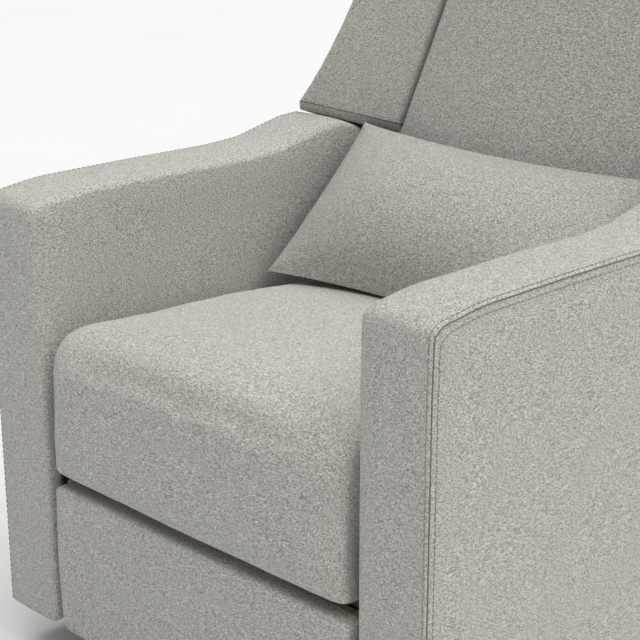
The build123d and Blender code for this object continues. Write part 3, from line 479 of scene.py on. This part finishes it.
def wing_ring(side, up):
    ends = end_share(up, WING_BOTTOM, BACK_TOP, 16) ** 2
    near, far = crease_half(up) + CREASE_GAP, wing_half(up) + 5 - 4 * ends
    low, high = PAD_FACE - 9 * ends, WING_EDGE - 9 * ends
    middle = ((near + far) / 2, (low + high) / 2 + 6)
    p = outline(((near, FRAME_THICK, 1), (near, low, 9), (*middle, 26), (far - 4, high, 15),
                 (far, high - 22, 10), (far, FRAME_THICK, 1)), 130)
    return on_back(p * (side, 1), up)


def tongue_ring(side, up):
    """Narrow lower part of a wing, between the arms."""
    near = crease_half(up) + CREASE_GAP
    p = outline(((near, FRAME_THICK, 1), (near, TONGUE_FACE, 9), (BACK_HALF, TONGUE_FACE, 9),
                 (BACK_HALF, FRAME_THICK, 1)), 60)
    return on_back(p * (side, 1), up)


def hem_run(side):
    """The part of a wing's outline ahead of the frame, near the wing's lower end."""
    p = wing_ring(side, HEM_HEIGHT)
    ahead = (p - BACK_ORIGIN) @ AHEAD > FRAME_THICK + HEM_CLEAR
    start = np.argmax(ahead & ~np.roll(ahead, 1))
    return np.roll(p, -start, 0)[np.roll(ahead, -start)]


for side, name in SIDES:
    wing_rings = [wing_ring(side, u) for u in spread(WING_BOTTOM, BACK_TOP, 40, 16)]
    wing = loft(f"{name}_wing_padding", wing_rings, "back", [f"{name}_wing"], (1.0, 2.0))
    undulate(wing, 1.0, 110, side * 5.7)
    dress(wing, cloth_x)
    tongue_rings = [tongue_ring(side, u) for u in np.linspace(BACK_BOTTOM, 12, 24)]
    tongue = loft(f"{name}_wing_tongue", tongue_rings, "back")
    dress(tongue, cloth_x)
    line(f"{name}_wing_hem", [hem_run(side)], 0.7, "back", shadow_seam)


def shell_ring(up, half, set_in):
    """Outline of the outer back, fuller towards its foot and rounded at its top and foot."""
    swell = 22 + 48 * (BACK_TOP - max(up, SHELL_BEND)) / (BACK_TOP - SHELL_BEND)
    top = 12 * max(0.0, (up - BACK_TOP + 24) / 24) ** 2
    foot = 18 * max(0.0, (SHELL_BEND - up) / 65) ** 2
    rear = set_in - swell + top + foot
    return on_back(outline(((-half, FRAME_THICK, 1), (half, FRAME_THICK, 1), (half, rear, 20),
                            (0, rear - 4, 60), (-half, rear, 20)), 150), up)


shells = (("upper", [shell_ring(u, wing_half(u), 0) for u in spread(WING_BOTTOM, BACK_TOP, 44, 20)]),
          ("lower", [shell_ring(u, BACK_HALF, 4) for u in spread(BACK_BOTTOM, 14, 34, 20)]))
for place, rings in shells:
    shell = loft(f"outer_back_{place}", rings, "back", ["outer_back"] if place == "upper" else ())
    undulate(shell, 0.8, 170, 2.2)
    dress(shell, cloth_x)

# Leg rest and rear panel: flat pads with rounded edges
REST_HALF, REST_LOW, REST_HIGH, REST_THICK = 262.0, 67.0, 275.0, 28.0
PANEL_HALF, PANEL_TOP, PANEL_FRONT, PANEL_REAR = 274.6, 308.0, 668.0, 690.0


def rest_ring(station):
    tuck = 6 * max(0.0, (abs(station) - EDGE_FROM) / EDGE_SPAN) ** 2
    p = outline(((REST_THICK, REST_LOW + tuck, 2), (tuck - 1, REST_LOW + tuck, 10), (tuck - 4.5, 171, 50),
                 (tuck - 1, REST_HIGH - tuck, 10), (REST_THICK, REST_HIGH - tuck, 2)), 110)
    return upright(p, station * REST_HALF)


rest = loft("leg_rest_padding", [rest_ring(s) for s in eased(51)], "leg_rest", ["leg_rest_pad"])
undulate(rest, 0.8, 120, 6.1)
dress(rest, cloth_x)


def panel_ring(x):
    p = outline(((PANEL_FRONT, UNDERSIDE, 2), (PANEL_REAR, UNDERSIDE, 8), (PANEL_REAR + 0.8, 186, 60),
                 (PANEL_REAR, PANEL_TOP, 8), (PANEL_FRONT, PANEL_TOP, 2)), 90)
    return upright(p, x)


panel_rings = [panel_ring(x) for x in np.linspace(-PANEL_HALF, PANEL_HALF, 40)]
panel = loft("rear_panel_padding", panel_rings, "chair", ["rear_panel"])
undulate(panel, 0.6, 150, 1.4)
dress(panel, cloth_x)

# Lumbar pillow: two faces sewn at a knife edge, drawn in between the corners, with puckers along the seam
PILLOW_LEAN = radians(47.3)
PILLOW_CENTRE = np.array((0, 478.5 - AXIS, 573.7))
PILLOW_UP = np.array((0, sin(PILLOW_LEAN), cos(PILLOW_LEAN)))
PILLOW_OUT = np.array((0, -cos(PILLOW_LEAN), sin(PILLOW_LEAN)))
PILLOW_ACROSS, PILLOW_HALF, PILLOW_FULL = 256.0, 138.0, 60.0
COLS, ROWS = 85, 47


def pillow_point(u, v, face):
    half = PILLOW_HALF - 12 * (1 - u * u)
    across = PILLOW_ACROSS - 7 * (1 - v * v)
    full = PILLOW_FULL * (1 - abs(u) ** 2.6) ** 0.8 * max(0.0, 1 - abs(v) ** 2.1) ** 0.92
    edge = min(1 - abs(u), 0.55 * (1 - abs(v)))
    pucker = 1.7 * exp(-((edge - 0.07) / 0.06) ** 2) * noise.noise(Vector((u * 16, v * 8, face * 3.0)))
    return (PILLOW_CENTRE + np.array((u * across, 0, 0)) + v * half * PILLOW_UP
            + face * (full + 1.2 + (pucker if edge > 0 else 0)) * PILLOW_OUT)


verts = [pillow_point(u, v, face) for face in (1, -1) for v in eased(ROWS) for u in eased(COLS)]
faces = []
for layer in (0, COLS * ROWS):
    for r in range(ROWS - 1):
        for c in range(COLS - 1):
            a = layer + r * COLS + c
            faces.append((a, a + 1, a + COLS + 1, a + COLS))
rim = (list(range(COLS)) + [r * COLS + COLS - 1 for r in range(1, ROWS)]
       + [(ROWS - 1) * COLS + c for c in range(COLS - 2, -1, -1)]
       + [r * COLS for r in range(ROWS - 2, 0, -1)])
for a, b in zip(rim, rim[1:] + rim[:1]):
    faces.append((a, b, b + COLS * ROWS, a + COLS * ROWS))
pillow = new_object("lumbar_pillow_cover", verts, faces, "pillow", ["lumbar_pillow"])
puff(pillow, 1.5, 3.0, 3.0)
subdivide(pillow)
dress(pillow, cloth_pillow)

# Floor, light and camera
WORLD_LIGHT, KEY_LIGHT, KEY_ANGLE, KEY_AIM = 0.27, 3.1, 75, (-0.32, -0.04, -1)
CAMERA_PLACE, CAMERA_TURN, CAMERA_TILT, CAMERA_LENS = (1.35503, -1.57631, 1.16869), 44.415, 18.856, 93.0

scene = bpy.context.scene
bpy.ops.mesh.primitive_plane_add(size=60)
floor = bpy.context.object
floor.name = "floor"
floor.data.materials.append(surface("pale_floor", (0.79, 0.79, 0.79), (0.81, 0.81, 0.81), 0.9, (3, 3, 3)))

world = bpy.data.worlds.new("studio")
scene.world = world
world.use_nodes = True
world.node_tree.nodes["Background"].inputs["Color"].default_value = (1, 1, 1, 1)
world.node_tree.nodes["Background"].inputs["Strength"].default_value = WORLD_LIGHT

key = bpy.data.lights.new("key", "SUN")
key.energy, key.angle = KEY_LIGHT, radians(KEY_ANGLE)
overhead = bpy.data.objects.new("key", key)
overhead.rotation_mode = "QUATERNION"
overhead.rotation_quaternion = Vector(KEY_AIM).to_track_quat("-Z", "Y")
scene.collection.objects.link(overhead)

camera = bpy.data.objects.new("camera", bpy.data.cameras.new("camera"))
scene.collection.objects.link(camera)
turn, tilt = radians(CAMERA_TURN), radians(CAMERA_TILT)
back = Vector((sin(turn) * cos(tilt), -cos(turn) * cos(tilt), sin(tilt)))
camera.location = CAMERA_PLACE
camera.rotation_mode = "QUATERNION"
camera.rotation_quaternion = (-back).to_track_quat("-Z", "Y")
camera.data.sensor_width = 36
camera.data.lens = CAMERA_LENS
scene.camera = camera
scene.view_settings.view_transform = "Standard"
